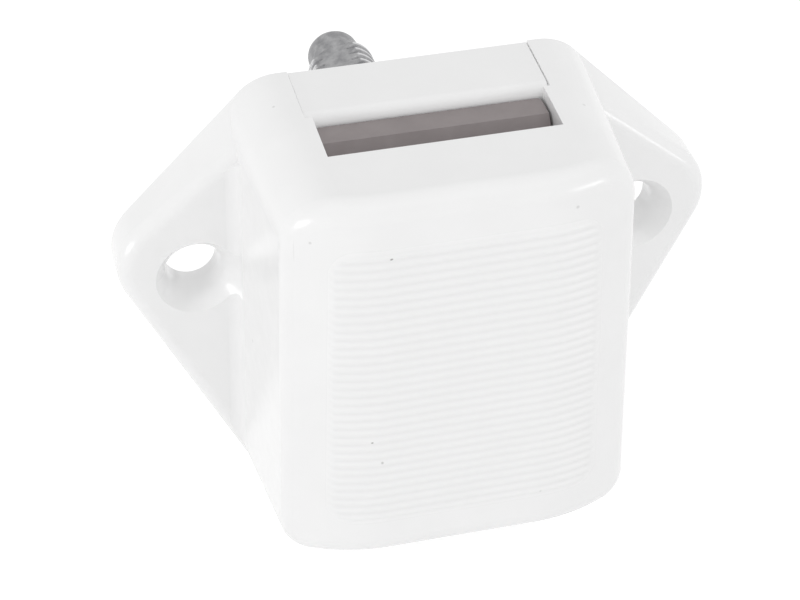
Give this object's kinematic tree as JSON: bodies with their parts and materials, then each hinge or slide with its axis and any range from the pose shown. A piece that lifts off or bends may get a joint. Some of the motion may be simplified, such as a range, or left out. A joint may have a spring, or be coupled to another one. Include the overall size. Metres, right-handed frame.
{
  "type": "push-button cabinet lock",
  "caption": "White moulded push-button cabinet lock with screw ears, ribbed front, sprung flat bolt and a threaded knob spindle.",
  "frame": {"origin": "midway between the two ear screws, on the spindle's axis, in the mounting face", "axes": "+Y out of the mounting face towards the door, -Y the ribbed front, +Z the end that the bolt leaves by, +X to the right seen from the front"},
  "size_m": [0.0644, 0.0611, 0.0467],
  "materials": {
    "white_moulding": "glossy moulded white",
    "grey_moulding": "satin warm grey acetal",
    "slider_moulding": "satin dark grey acetal",
    "zinc_plated_steel": "dull zinc plating",
    "spring_steel": "bright drawn wire"
  },
  "bodies": {
    "case": {"housing": "white_moulding", "back_cover": "white_moulding", "cover_screws": "zinc_plated_steel", "leaf_spring": "spring_steel", "leaf_screw": "zinc_plated_steel", "bolt_spring_left": "spring_steel", "bolt_spring_right": "spring_steel", "return_spring": "spring_steel"},
    "plunger": {"spindle": "zinc_plated_steel", "carriage": "slider_moulding", "spindle_pin": "zinc_plated_steel"},
    "bolt": {"latch_bolt": "grey_moulding", "drive_pin_left": "zinc_plated_steel", "drive_pin_right": "zinc_plated_steel"},
    "catch": {"catch_finger": "spring_steel"}
  },
  "joints": [
    {"name": "spindle_push", "type": "slide", "parent": "case", "child": "plunger", "axis": [0, -1, 0], "range_m": [0, 0.008], "stiffness_N_per_m": 600, "springref_m": -0.006, "deforming": ["return_spring"]},
    {"name": "bolt_lift", "type": "slide", "parent": "case", "child": "bolt", "axis": [0, 0, 1], "range_m": [0, 0.008], "deforming": ["bolt_spring_left", "bolt_spring_right"]},
    {"name": "catch_swing", "type": "hinge", "parent": "case", "child": "catch", "pos_m": [0, -0.0043, 0.0076], "axis": [0, 0, 1], "range_deg": [0, 14]}
  ],
  "couplings": [
    {"joint": "bolt_lift", "follows": "spindle_push", "ratio": 1},
    {"joint": "catch_swing", "follows": "spindle_push", "rad_per_m": 30.54}
  ]
}
